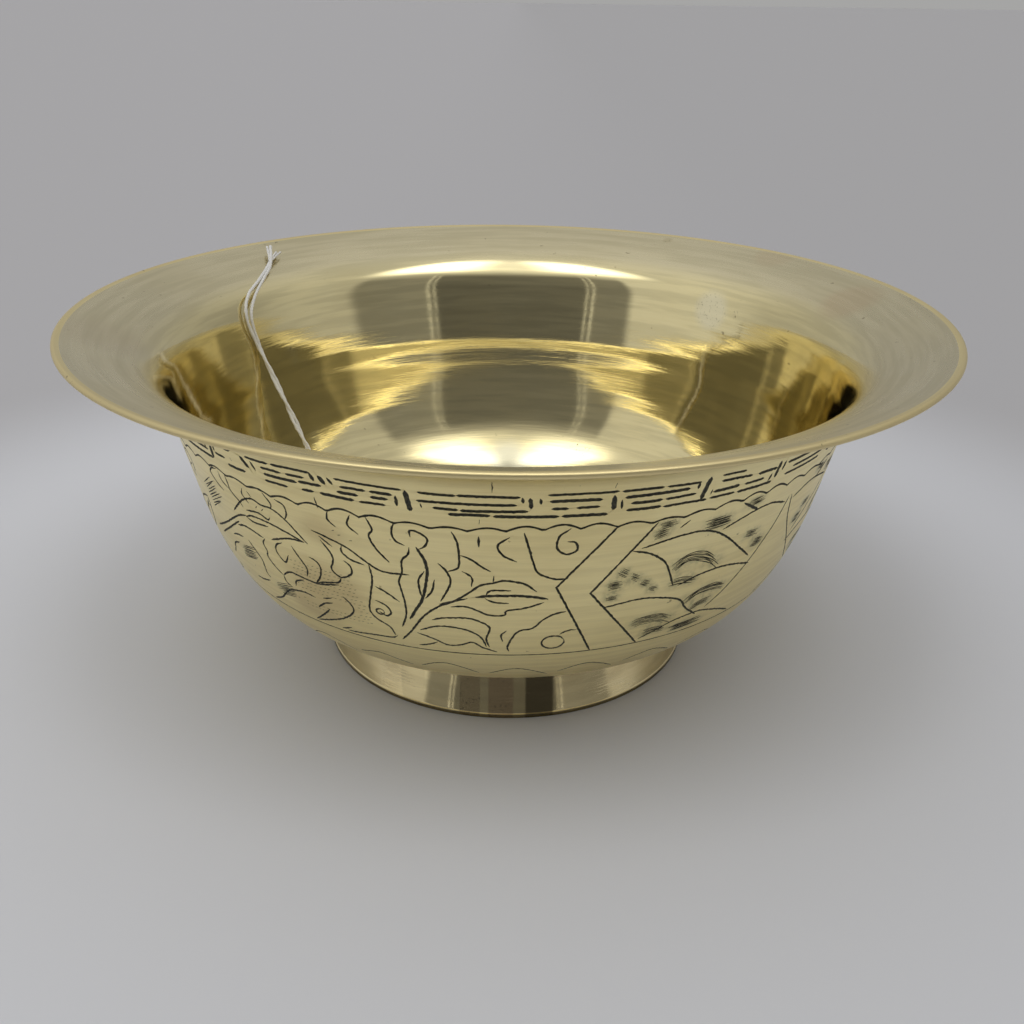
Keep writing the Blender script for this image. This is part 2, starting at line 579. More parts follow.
def draw_foliage(offset):
    """The bird among leaves, and the part of the panel past the bird's neck."""
    motifs = (LEFT_CLOUDS, BIRD_HEAD, BIRD_BREAST, BIRD_WING, UPPER_CLOUDS, TALL_LEAF, SPRAY, BRANCH)
    for motif in motifs:
        for points in motif:
            cut(shifted(points, offset))
    for points, width in ((STEM, FRAME_WIDTH), (TALL_LEAF_SPINE, BOLD_WIDTH), (RIB, BOLD_WIDTH)):
        cut(shifted(points, offset), width)
    cut(shifted([(-6.2, 91), (-6.2, 87.8)], offset), 0.8, smooth=False)
    circle((13.5 + offset, 54.8), 3.2)
    circle((-34.2 + offset, 62.6), 1.2)
    feather_hatch(offset)
    for base, tip, belly, veins in (
        ((-116, 62), (-101, 78), 0.2, 3),
        ((-118, 60), (-104, 57), 0.22, 2),
        ((-121, 63), (-126, 82), 0.19, 3),
        ((-124, 60), (-140, 66), 0.2, 3),
        ((-122, 57), (-134, 51.5), 0.18, 2),
    ):
        leaf(*shifted([base, tip], offset), belly, veins)
    cut(shifted([(-108, 50.6), (-114, 55), (-120, 61), (-124, 68)], offset), FRAME_WIDTH)
    for u, s, radius, start, turns in (
        (-108, 87.6, 4.2, -60, 1.2),
        (-120, 89, 3.6, 200, -1.2),
        (-134, 87.5, 4.4, -40, 1.25),
        (-146, 60, 3.4, 120, 1.1),
    ):
        curl((u + offset, s), radius, start, turns)
    for points in (
        [(-113, 92.6), (-114, 88), (-111, 84), (-106, 82.5)],
        [(-128, 92.6), (-127, 88.4), (-130, 84), (-136, 81.5), (-140, 76)],
        [(-98, 56), (-101, 52.4), (-106, 50.6)],
        [(-145.5, 67), (-141, 71), (-136, 73)],
    ):
        cut(shifted(points, offset))


def scribe_ticks():
    """Stray upright scratches by the fret: where, from and to what height, the lean and the width."""
    for u, low, high, lean, width in (
        (-3, 103.8, 108, 0.1, 0.3),
        (24, 104.2, 106, 0.1, 0.26),
        (-6, 94.6, 96, 0.1, 0.3),
        (-46, 93.2, 96.2, -0.3, 0.5),
    ):
        cut([(u, low), (u + lean, high)], width, smooth=False)


def draw_all():
    key_fret()
    borders()
    for offset in (0, -HALF_ROUND):
        draw_scenery(offset)
        draw_foliage(offset)
    scribe_ticks()


# ---------------------------------------------------------------- cutting the drawing into the strip

# In millimetres: how deep a cut goes, how far apart the plain wall's points are, how near the cuts come to the
# strip's join, how near those points come to a cut, and how far from a point its cuts are looked for
GROOVE_DEPTH = 0.26
GRID_ROUND, GRID_UP = 3.1, 2.4
SEAM_GAP = 0.6
CUT_GAP = 0.9
CUT_REACH = 1.4


def wrapped(points):
    """A cut moved by whole turns so that it lies between the strip's two ends."""
    turns = math.floor((points[:, 0].mean() - SEAM) / ROUND)
    return points - np.array([turns * ROUND, 0])


def settled(points):
    """The drawing as it sits on the wall: its upper rows a little lower, its lowest ring unmoved."""
    drop = np.clip((points[:, 1] - 50) / 40, 0, 1)
    return points - np.stack([0 * drop, drop], 1)


def strip_mesh():
    """The flat strip's points and triangles, and the cuts' middle lines with their half widths.

    Every cut goes in as three lines, its middle and its two edges, with rungs across them.
    """
    spots, edges, middles = [], [], []
    step = ROUND / COLUMNS
    for height in (STRIP_LOW, STRIP_HIGH):
        spots += [(SEAM + step * column, height) for column in range(COLUMNS + 1)]
    sides = np.linspace(STRIP_LOW, STRIP_HIGH, 33)[1:-1]
    for across in (SEAM, SEAM + ROUND):
        spots += [(across, height) for height in sides]
    for points, half in cuts:
        points = settled(wrapped(points))
        whole_ring = points[-1, 0] - points[0, 0] > ROUND - 0.01
        if not whole_ring:
            points[:, 0] = np.clip(points[:, 0], SEAM + SEAM_GAP, SEAM + ROUND - SEAM_GAP)
        run = np.gradient(points, axis=0)
        if whole_ring:
            run[:] = (1, 0)
        run /= np.maximum(np.hypot(*run.T), 1e-9)[:, None]
        side = np.stack([-run[:, 1], run[:, 0]], 1) * half[:, None]
        first = len(spots)
        for centre, offset in zip(points, side):
            spots += [tuple(centre + offset), tuple(centre), tuple(centre - offset)]
        for index in range(len(points)):
            here = first + 3 * index
            edges += [(here, here + 1), (here + 1, here + 2)]
            if index < len(points) - 1:
                edges += [(here + row, here + row + 3) for row in range(3)]
        middles.append((points, half))
    samples = np.vstack([points for points, _ in middles])
    near = KDTree(len(samples))
    for index, (u, s) in enumerate(samples):
        near.insert((u, s, 0), index)
    near.balance()
    rows = round((STRIP_HIGH - STRIP_LOW) / GRID_UP)
    columns = round(ROUND / GRID_ROUND)
    for row in range(1, rows):
        for column in range(columns):
            u = SEAM + ROUND * (column + 0.25 + 0.5 * (row % 2)) / columns
            s = STRIP_LOW + (STRIP_HIGH - STRIP_LOW) * row / rows
            if near.find((u, s, 0))[2] > CUT_GAP:
                spots.append((u, s))
    flat, _, triangles, _, _, _ = delaunay_2d_cdt([Vector(spot) for spot in spots], edges, [], 0, 1e-5)
    return np.array([tuple(point) for point in flat]), triangles, middles


def groove_depths(points, middles):
    """How deep each point lies: full depth on a cut's middle line, none at its edges or outside every cut."""
    starts, ends, start_half, end_half = [], [], [], []
    for line, half in middles:
        starts.append(line[:-1])
        ends.append(line[1:])
        start_half.append(half[:-1])
        end_half.append(half[1:])
    starts, ends = np.vstack(starts), np.vstack(ends)
    start_half, end_half = np.concatenate(start_half), np.concatenate(end_half)
    tree = KDTree(len(starts))
    for index, (u, s) in enumerate((starts + ends) / 2):
        tree.insert((u, s, 0), index)
    tree.balance()
    depths = np.zeros(len(points))
    for index, point in enumerate(points):
        found = [hit for _, hit, _ in tree.find_range((*point, 0), CUT_REACH)]
        if not found:
            continue
        run = ends[found] - starts[found]
        share = ((point - starts[found]) * run).sum(1) / np.maximum((run**2).sum(1), 1e-12)
        share = np.clip(share, 0, 1)
        away = np.hypot(*(starts[found] + run * share[:, None] - point).T)
        half = start_half[found] + (end_half[found] - start_half[found]) * share
        fullness = np.clip(1 - away / half, 0, 1) * np.minimum(1, half / 0.2)
        depths[index] = GROOVE_DEPTH * fullness.max()
    return depths


# ---------------------------------------------------------------- the shell's mesh


def round_point(radius, height, across):
    """A point in metres from a radius and a height in millimetres and a distance round the strip."""
    angle = across / PER_RADIAN
    return np.stack([radius * np.sin(angle), -radius * np.cos(angle), height + 0 * angle], -1) * MM


def inside_rings():
    """The (radius, height) rings from under the lip, round its edge and down the inside to the middle.

    Also how many of them come before the inside wall.
    """
    start = STRIP_HIGH
    under = OUTSIDE.at(np.linspace(start, OUTSIDE.length, 15)[1:])[0]
    turn = LIP_SLOPE - math.pi / 2 + math.pi * np.linspace(0, 1, 11)[1:-1]
    edge = np.array(LIP_CENTRE) + SHEET / 2 * np.stack([np.cos(turn), np.sin(turn)], 1)
    along = np.linspace(OUTSIDE.length, 0, 106)
    points, normals = OUTSIDE.at(along)
    wall = points + SHEET * normals
    floor = np.stack([np.linspace(wall[-1, 0], 0, 12)[1:], np.full(11, BASE_HEIGHT + SHEET)], 1)
    return np.vstack([under, edge, wall, floor]), len(under) + len(edge)


# How the inside wall leans away from its turned line, as a raised bowl is never quite true. Each row is
# heights in mm, the leans there in degrees, and the angles from the back where a lean comes in and goes out.
ALL_ROUND = (-2, -1, 181, 182)
LEANS = (
    ((18, 30, 52, 55, 64, 65.3, 67.5, 69, 90, 94), (0, 0, 0.2, 1.2, 1.1, -0.9, -0.9, 0.7, 0.7, 0), ALL_ROUND),
    ((40, 43, 58, 61), (0, -1.7, -2.2, 0), (13, 24, 44, 52)),
    ((74, 77, 88, 92), (0, 1.3, 1.3, 0), (30, 42, 62, 75)),
)
# The faint rings that the lathe left there: their spacing and height in mm, and how they vary round the bowl
LATHE_RINGS = ((3.1, 0.003, 11, 1.4), (4.3, 0.004, 7, 0.4), (6.7, 0.008, 5, 2.0), (10.3, 0.010, 3, 3.0))


def hand_waver(rings, first_inside):
    """How far each point of the inside stands off its turned line, as rings by columns."""
    number = np.arange(len(rings))
    along = distances(rings)
    height = rings[:, 1]
    turn = SEAM / ROUND + np.arange(COLUMNS) / COLUMNS
    from_back = abs(turn % 1 - 0.5) * 360
    lean = 0
    for heights, degrees, span in LEANS:
        lean = lean + np.interp(height, heights, degrees)[:, None] * np.interp(from_back, span, (0, 1, 1, 0))
    settle = np.cumsum(np.radians(lean) * np.gradient(along)[:, None], axis=0)
    inner = (number > first_inside)[:, None]
    settle *= inner
    drift = np.interp(height, (18, 40, 96, 107), (1, 0.5, 0, 0))[:, None]
    settle -= drift * settle[-1]
    fade = np.clip((number - first_inside - 4) / 8, 0, 1) * np.clip((len(rings) - 14 - number) / 8, 0, 1)
    across = np.arange(COLUMNS) * 2 * math.pi / COLUMNS
    waver = 0
    for spacing, rise, lobes, phase in LATHE_RINGS:
        one = np.sin(2 * math.pi * along / spacing + phase)[:, None]
        waver = waver + rise * one * (1 + 0.5 * np.sin(lobes * across + phase))
    return waver * fade[:, None] - settle * inner


def grid_normals(points):
    """The normals of a closed grid of rings, from the differences between neighbours."""
    down = np.gradient(points, axis=0)
    along = np.roll(points, -1, axis=1) - np.roll(points, 1, axis=1)
    normal = np.cross(along, down)
    size = np.linalg.norm(normal, axis=2, keepdims=True)
    return normal / np.maximum(size, 1e-12)


def smudge_at(flat):
    """How much wax is left at each strip point. It is below zero where brown tarnish is left instead."""
    value = np.zeros(len(flat))
    for centre, reach, rise, strength in smudges:
        centre = settled(wrapped(np.array([centre])))[0]
        away = np.hypot((flat[:, 0] - centre[0]) / reach, (flat[:, 1] - centre[1]) / rise)
        here = strength * np.clip(1.5 - away, 0, 1)
        value = np.where(abs(here) > abs(value), here, value)
    return value


OUTER, INNER, ENGRAVED = range(3)


def shell_mesh():
    """The whole shell as one closed mesh, with its normals: an engraved strip between turned rings."""
    flat, triangles, middles = strip_mesh()
    triangles = np.array(triangles)
    depths = groove_depths(flat, middles)
    cut_faces = groove_depths(flat[triangles].mean(1), middles) > 0
    uncut = np.ones(len(flat), bool)
    uncut[triangles[cut_faces]] = False
    depths[uncut] = 0
    depths[abs(flat[:, 0] - SEAM) < 1e-3] = 0
    depths[abs(flat[:, 0] - SEAM - ROUND) < 1e-3] = 0
    profile, inward = OUTSIDE.at(flat[:, 1])
    radius = profile[:, 0] + inward[:, 0] * depths
    height = profile[:, 1] + inward[:, 1] * depths
    points = [round_point(radius, height, flat[:, 0])]
    angle = flat[:, 0] / PER_RADIAN
    normals = [np.stack([-inward[:, 0] * np.sin(angle), inward[:, 0] * np.cos(angle), -inward[:, 1]], -1)]

    columns = SEAM + np.arange(COLUMNS) * ROUND / COLUMNS
    total = len(flat)

    def add_rings(rings, waver):
        """Adds turned rings, each point moved along its normal by its waver, and gives the first index."""
        nonlocal total
        line = Line(rings)
        radius, height = (rings[:, axis, None] + line.normals[:, axis, None] * waver for axis in (0, 1))
        grid = round_point(radius, height, np.broadcast_to(columns, radius.shape))
        first = total
        total += len(rings) * COLUMNS
        points.append(grid.reshape(-1, 3))
        normals.append(grid_normals(grid).reshape(-1, 3))
        return first

    faces = triangles.tolist()
    kinds = [ENGRAVED if is_cut else OUTER for is_cut in cut_faces]

    def bridge(first, rings, kind):
        """Joins each of some rings to the next one."""
        for ring in range(rings - 1):
            for column in range(COLUMNS):
                after = (column + 1) % COLUMNS
                a, b = first + ring * COLUMNS, first + (ring + 1) * COLUMNS
                faces.append((a + column, a + after, b + after, b + column))
                kinds.append(kind)

    inside, first_inside = inside_rings()
    upper = np.vstack([OUTSIDE.at(np.array([STRIP_HIGH]))[0], inside[:-1]])
    waver = np.vstack([np.zeros((1, COLUMNS)), hand_waver(inside, first_inside)[:-1]])
    upper_first = add_rings(upper, waver)
    bridge(upper_first, first_inside + 3, OUTER)
    bridge(upper_first + (first_inside + 2) * COLUMNS, len(upper) - first_inside - 2, INNER)

    under = [(radius, BASE_HEIGHT) for radius in (9, 20, 32)]
    lower = np.vstack([under, OUTSIDE.at(np.linspace(0, STRIP_LOW, 16))[0]])
    lower_first = add_rings(lower, np.zeros((len(lower), COLUMNS)))
    bridge(lower_first, len(lower), OUTER)

    middles_of_discs = (
        (BASE_HEIGHT + SHEET, 1, upper_first + (len(upper) - 1) * COLUMNS, INNER),
        (BASE_HEIGHT, -1, lower_first, OUTER),
    )
    for height, way, ring, kind in middles_of_discs:
        points.append(np.array([[0, 0, height * MM]]))
        normals.append(np.array([[0, 0, float(way)]]))
        for column in range(COLUMNS):
            after = (column + 1) % COLUMNS
            faces.append((ring + column, ring + after, total)[::way])
            kinds.append(kind)
        total += 1
    points, normals = np.vstack(points), np.vstack(normals)

    mesh = bpy.data.meshes.new("bowl_shell_engraved")
    mesh.from_pydata(points.tolist(), [], faces)
    mesh.polygons.foreach_set("material_index", kinds)
    smudge = np.zeros(len(points), np.float32)
    smudge[: len(flat)] = smudge_at(flat)
    mesh.attributes.new("smudge", "FLOAT", "POINT").data.foreach_set("value", smudge)
    return mesh, normals


def read(items, name, width=1, kind=int):
    """One setting of every item of a mesh, as an array."""
    values = np.empty(len(items) * width, kind)
    items.foreach_get(name, values)
    return values if width == 1 else values.reshape(-1, width)


def weld(mesh, normals):
    """Joins the strip to itself and to the rings above and below, and gives every corner its true normal."""
    tags = mesh.attributes.new("true_normal", "FLOAT_VECTOR", "POINT")
    tags.data.foreach_set("vector", normals.astype(np.float32).ravel())
    bm = bmesh.new()
    bm.from_mesh(mesh)
    bmesh.ops.remove_doubles(bm, verts=bm.verts, dist=4e-7)
    bmesh.ops.dissolve_degenerate(bm, edges=bm.edges, dist=1e-8)
    bmesh.ops.recalc_face_normals(bm, faces=bm.faces)
    for face in bm.faces:
        face.smooth = True
    loose = [edge for edge in bm.edges if len(edge.link_faces) != 2]
    print("shell edges not shared by two faces:", len(loose))
    bm.to_mesh(mesh)
    bm.free()
    corners = read(mesh.loops, "vertex_index")
    corner_normals = read(mesh.attributes["true_normal"].data, "vector", 3, np.float32)[corners]
    owner = np.repeat(np.arange(len(mesh.polygons)), read(mesh.polygons, "loop_total"))
    face_normals = read(mesh.polygons, "normal", 3, float)[owner]
    wrong_way = (corner_normals * face_normals).sum(1) < 0.2
    use_face = (read(mesh.polygons, "material_index")[owner] == ENGRAVED) | wrong_way
    corner_normals = np.where(use_face[:, None], face_normals, corner_normals)
    mesh.attributes.remove(mesh.attributes["true_normal"])
    mesh.normals_split_custom_set(corner_normals.tolist())
    mesh.update()


# ---------------------------------------------------------------- materials


class Nodes:
    """Short ways to add shader nodes to one node tree. A value may be a number or another node's output."""

    def __init__(self, tree):
        self.tree = tree

    def add(self, kind, **settings):
        node = self.tree.nodes.new(kind)
        for name, value in settings.items():
            setattr(node, name, value)
        return node

    def put(self, socket, value):
        if isinstance(value, bpy.types.NodeSocket):
            self.tree.links.new(value, socket)
        else:
            socket.default_value = value

    def math(self, operation, first, second=0.0):
        node = self.add("ShaderNodeMath", operation=operation)
        self.put(node.inputs[0], first)
        self.put(node.inputs[1], second)
        return node.outputs[0]

    def times(self, first, second):
        return self.math("MULTIPLY", first, second)

    def plus(self, first, second):
        return self.math("ADD", first, second)

    def minus(self, first, second):
        return self.math("SUBTRACT", first, second)

    def vector_math(self, operation, first, second=(0, 0, 0)):
        node = self.add("ShaderNodeVectorMath", operation=operation)
        self.put(node.inputs[0], first)
        self.put(node.inputs[1], second)
        return node.outputs["Value" if operation == "LENGTH" else "Vector"]

    def ease(self, value, low, high, start=0.0, end=1.0):
        """A smooth step from start to end as the value goes from low to high."""
        node = self.add("ShaderNodeMapRange", interpolation_type="SMOOTHSTEP")
        for socket, number in zip(node.inputs, (value, low, high, start, end)):
            self.put(socket, number)
        return node.outputs[0]

    def vector(self, x, y, z):
        node = self.add("ShaderNodeCombineXYZ")
        for socket, value in zip(node.inputs, (x, y, z)):
            self.put(socket, value)
        return node.outputs[0]

    def noise(self, vector, scale, detail=3.0, roughness=0.55):
        node = self.add("ShaderNodeTexNoise")
        self.put(node.inputs["Vector"], vector)
        self.put(node.inputs["Scale"], scale)
        self.put(node.inputs["Detail"], detail)
        self.put(node.inputs["Roughness"], roughness)
        return node.outputs["Fac"]

    def blend(self, factor, first, second):
        node = self.add("ShaderNodeMix", data_type="RGBA")
        self.put(node.inputs["Factor"], factor)
        self.put(node.inputs[6], first)
        self.put(node.inputs[7], second)
        return node.outputs[2]

    def bump(self, height, distance, strength):
        node = self.add("ShaderNodeBump")
        self.put(node.inputs["Height"], height)
        self.put(node.inputs["Distance"], distance)
        self.put(node.inputs["Strength"], strength)
        return node.outputs[0]

    def place(self):
        """The point on the object in metres, as one vector and as x, y and z."""
        vector = self.add("ShaderNodeTexCoord").outputs["Object"]
        split = self.add("ShaderNodeSeparateXYZ")
        self.put(split.inputs[0], vector)
        return vector, split.outputs[0], split.outputs[1], split.outputs[2]

    def turned_place(self):
        """The point as a vector, the cosine and sine of its turn about the axis, its radius and height."""
        vector, x, y, z = self.place()
        square = self.plus(self.times(x, x), self.times(y, y))
        radius = self.plus(self.math("SQRT", square), 1e-6)
        return vector, self.math("DIVIDE", x, radius), self.math("DIVIDE", y, radius), radius, z


STREAK_COLOUR = (0.52, 0.47, 0.29, 1)
BROWN_TARNISH = (0.50, 0.37, 0.19, 1)
GREEN_WAX = (0.20, 0.21, 0.13, 1)
DARK_SPECK = (0.16, 0.12, 0.06, 1)
DARK_PIT = (0.10, 0.085, 0.05, 1)
DARK_HEM = (0.12, 0.095, 0.05, 1)


def new_material(name, metallic, roughness):
    """A material, its shader and the short ways to add nodes to it."""
    material = bpy.data.materials.new(name)
    material.use_nodes = True
    shader = material.node_tree.nodes["Principled BSDF"]
    shader.inputs["Metallic"].default_value = metallic
    shader.inputs["Roughness"].default_value = roughness
    return material, shader, Nodes(material.node_tree)


def turned_brass(name, bright, deep, roughness, grain, lip=None, tarnish=0.5, streaks=0.1, marks=(), hem=0.0):
    """Brass with fine marks that run round it, clouds of tarnish and a few specks.

    grain is (size, bump depth) in metres. lip is the flared lip's roughness, its bright and deep colours and
    the two radii between which it takes over. streaks is how strongly broad lathe lines show. marks are worn
    or stained spots: (place, size, flatness, colour, amount, how pitted it is), and a flatness under 1 makes
    one taller than it is wide. Below the height hem the metal is dull and dark.
    """
    material, shader, n = new_material(name, 1.0, roughness)
    place, cosine, sine, radius, height = n.turned_place()
    size, depth = grain
    up_wall = n.plus(n.times(radius, 0.7), height)
    near = n.vector(n.times(cosine, 7), n.times(sine, 7), n.math("DIVIDE", up_wall, size))
    far = n.vector(n.times(cosine, 3), n.times(sine, 3), n.math("DIVIDE", up_wall, size * 4))
    fine = n.noise(near, 1.0, 4.0, 0.62)
    broad = n.noise(far, 1.0, 3.0, 0.5)
    cloud = n.noise(place, 19.0, 4.0, 0.6)
    speck = n.noise(place, 420.0, 2.0, 0.5)
    stain = n.ease(n.plus(n.times(cloud, 0.7), n.times(broad, 0.3)), 0.42, 0.66)
    base = roughness
    bump_strength = 0.6
    if lip is not None:
        lip_roughness, lip_bright, lip_deep, start, end = lip
        out = n.ease(radius, start, end)
        bright = n.blend(out, bright, lip_bright)
        deep = n.blend(out, deep, lip_deep)
        base = n.ease(radius, start, end, roughness, lip_roughness)
        bump_strength = n.ease(radius, start - 0.003, start + 0.002, 0.6, 0.02)
    colour = n.blend(n.times(stain, tarnish), bright, deep)
    colour = n.blend(n.ease(fine, 0.3, 0.75, 0.0, 0.22), colour, deep)
    streak = n.times(n.ease(broad, 0.4, 0.62, 0.0, streaks), n.ease(radius, 0.04, 0.07, 0.25, 1.0))
    colour = n.blend(streak, colour, STREAK_COLOUR)
    smudge = n.add("ShaderNodeAttribute", attribute_name="smudge").outputs["Fac"]
    dabs = n.ease(n.noise(place, 900.0, 2.0), 0.38, 0.6)
    wax = n.times(n.ease(smudge, 0.05, 0.8), n.plus(n.times(dabs, 0.36), 0.3))
    brown = n.times(n.ease(n.times(smudge, -1.0), 0.05, 0.8), 0.42)
    colour = n.blend(brown, colour, BROWN_TARNISH)
    colour = n.blend(wax, colour, GREEN_WAX)
    colour = n.blend(n.ease(speck, 0.735, 0.775, 0.0, 0.55), colour, DARK_SPECK)
    pits = n.ease(n.noise(place, 1300.0, 1.0), 0.64, 0.7)
    for spot, size, flatness, colour_there, amount, pitted in marks:
        sharpness = 1.3 if flatness < 1 else 0.9
        away = n.vector_math("MULTIPLY", n.vector_math("SUBTRACT", place, spot), (1, flatness, flatness))
        ragged = n.plus(n.vector_math("LENGTH", away), n.times(cloud, size * 0.8))
        here = n.ease(ragged, size * 1.5, size * sharpness)
        colour = n.blend(n.times(here, amount), colour, colour_there)
        colour = n.blend(n.times(n.times(here, pits), pitted), colour, DARK_PIT)
        base = n.plus(base, n.times(here, 0.12 * pitted))
    if hem:
        colour = n.blend(n.ease(height, hem, hem * 0.6, 0.0, 0.8), colour, DARK_HEM)
    n.put(shader.inputs["Base Color"], colour)
    wear = n.plus(n.times(n.minus(fine, 0.5), 0.12), n.times(stain, 0.06))
    n.put(shader.inputs["Roughness"], n.plus(base, wear))
    lines = n.plus(fine, n.times(broad, 2.2))
    n.put(shader.inputs["Normal"], n.bump(lines, depth, bump_strength))
    return material


def dark_patina():
    """The black wax and tarnish that fill the engraved cuts."""
    material, shader, n = new_material("engraving_patina", 0.0, 0.62)
    grain = n.noise(n.place()[0], 1500.0, 3.0)
    colour = n.blend(n.ease(grain, 0.35, 0.75), (0.017, 0.019, 0.013, 1), (0.085, 0.078, 0.038, 1))
    n.put(shader.inputs["Base Color"], colour)
    n.put(shader.inputs["Normal"], n.bump(grain, 0.00008, 0.5))
    return material


def grey_solder():
    material, shader, n = new_material("soft_solder", 1.0, 0.5)
    lumps = n.noise(n.place()[0], 260.0, 4.0)
    n.put(shader.inputs["Base Color"], n.blend(lumps, (0.30, 0.29, 0.27, 1), (0.56, 0.54, 0.49, 1)))
    n.put(shader.inputs["Roughness"], n.ease(lumps, 0.3, 0.7, 0.38, 0.62))
    n.put(shader.inputs["Normal"], n.bump(lumps, 0.0003, 0.7))
    return material


def white_cotton():
    material, shader, n = new_material("white_cotton", 0.0, 0.92)
    fuzz = n.noise(n.place()[0], 2600.0, 3.0)
    n.put(shader.inputs["Base Color"], n.blend(fuzz, (0.70, 0.69, 0.66, 1), (0.93, 0.92, 0.90, 1)))
    n.put(shader.inputs["Normal"], n.bump(fuzz, 0.00012, 0.7))
    shader.inputs["Sheen Weight"].default_value = 0.25
    return material


# ---------------------------------------------------------------- pieces


def add_object(name, mesh, materials):
    thing = bpy.data.objects.new(name, mesh)
    for material in materials:
        mesh.materials.append(material)
    bpy.context.scene.collection.objects.link(thing)
    return thing


def turned_ring(name, section, segments, bulge):
    """A closed section of (radius, height) points in mm, turned round Z, its radius changed by bulge."""
    section = np.array(section)
    angles = np.arange(segments) * 2 * math.pi / segments
    radius, height = (np.repeat(section[:, axis, None], segments, 1) for axis in (0, 1))
    radius = bulge(radius, height, angles)
    grid = np.stack([radius * np.cos(angles), radius * np.sin(angles), height], -1) * MM
    count = len(section)
    faces = []
    for row in range(count):
        here, below = row * segments, (row + 1) % count * segments
        for column in range(segments):
            after = (column + 1) % segments
            faces.append((here + column, here + after, below + after, below + column))
    mesh = bpy.data.meshes.new(name)
    mesh.from_pydata(grid.reshape(-1, 3).tolist(), [], faces)
    bm = bmesh.new()
    bm.from_mesh(mesh)
    bmesh.ops.recalc_face_normals(bm, faces=bm.faces)
    bm.to_mesh(mesh)
    bm.free()
    mesh.shade_smooth()
    mesh.set_sharp_from_angle(angle=math.radians(50))
    return mesh


def softened(corners, reach):
    """A closed section whose corners are rounded off, with each run between them kept straight."""
    points = []
    count = len(corners)
    for index in range(count):
        before, here, after = (np.array(corners[(index + k) % count], float) for k in (-1, 0, 1))
        back, on = before - here, after - here
        cut_back = min(reach, 0.45 * np.hypot(*back), 0.45 * np.hypot(*on))
        start, end = here + back / np.hypot(*back) * cut_back, here + on / np.hypot(*on) * cut_back
        for t in (0, 0.25, 0.5, 0.75, 1):
            points.append(tuple(start * (1 - t) ** 2 + 2 * here * t * (1 - t) + end * t * t))
    return points


def under_belly(radius):
    """How high the underside of the belly is at a radius."""
    return float(np.interp(radius, OUTSIDE.points[:400, 0], OUTSIDE.points[:400, 1]))


FOOT_SLOPE = math.tan(math.radians(21))
FOOT_STRIP = 2.2
FOOT_HEM = 1.2
HEM_STEP = 0.35
SEATING = 0.3
FOOT_TOP = FOOT_RADIUS - (BASE_HEIGHT - FOOT_HEM) * FOOT_SLOPE


def foot_ring(material):
    """The splayed ring, slightly out of round and dented in one place, as a hand-soldered one is."""
    inner_top, inner_toe = FOOT_TOP - FOOT_STRIP, FOOT_RADIUS - FOOT_STRIP
    low = np.array([FOOT_RADIUS - HEM_STEP, FOOT_HEM + 0.25])
    high = np.array([FOOT_TOP, under_belly(FOOT_TOP) - SEATING])
    corners = [
        (inner_toe, 0),
        (FOOT_RADIUS, 0),
        (FOOT_RADIUS, FOOT_HEM),
        *(low + (high - low) * share for share in (0, 0.3, 0.6, 1)),
        (inner_top, under_belly(inner_top) - SEATING),
        (inner_toe, FOOT_HEM),
    ]

    def bulge(radius, height, angles):
        lift = np.clip(height / 3, 0, 1) * np.clip((15.5 - height) / 3, 0, 1)
        waves = ((0.035, 5, 0.6), (0.025, 11, 2), (0.012, 23, 0))
        ripple = sum(size * np.sin(lobes * angles + phase) for size, lobes, phase in waves)
        dent_round = np.exp(-(((angles - math.radians(232)) / 0.035) ** 2))
        dent_up = np.exp(-(((height - 9.5) / 3.0) ** 2))
        return radius + (ripple - 0.16 * dent_round * dent_up) * lift

    mesh = turned_ring("foot_ring_polished", softened(corners, 0.35), 288, bulge)
    return add_object("foot_ring_polished", mesh, [material])


def foot_solder(material):
    """The solder fillet, a little lumpy where it was fed in by hand."""
    corner = FOOT_TOP - FOOT_STRIP - 0.3
    leg = 2.6
    top = under_belly(corner) - SEATING
    corners = [
        (corner + leg * FOOT_SLOPE, top - leg),
        (corner, top),
        (corner - leg, under_belly(corner - leg) - SEATING),
        (corner - 0.3 * leg, top - 0.4 * leg),
    ]

    def bulge(radius, height, angles):
        lump = 0.12 * np.sin(13 * angles) * np.sin(7 * angles + 1) + 0.06 * np.sin(31 * angles + 2)
        free = np.clip((top - 0.25 - height) / 0.8, 0, 1) * np.clip((corner + 0.2 - radius) / 0.8, 0, 1)
        return radius - np.abs(lump) * free

    mesh = turned_ring("foot_solder_fillet", softened(corners, 0.3), 216, bulge)
    return add_object("foot_solder_fillet", mesh, [material])


STRAND_RADIUS = 0.00052
EYE_LENGTH = 0.016
LOOSE_LENGTH = 0.013
# The frayed threads at its cut end: how far each leans aside and rises, and its radius, in millimetres
FRAYS = ((2.6, 0.2, 0.4), (-2.5, 0.2, 0.36), (0.9, 0.7, 0.3), (-1.0, 0.6, 0.3))
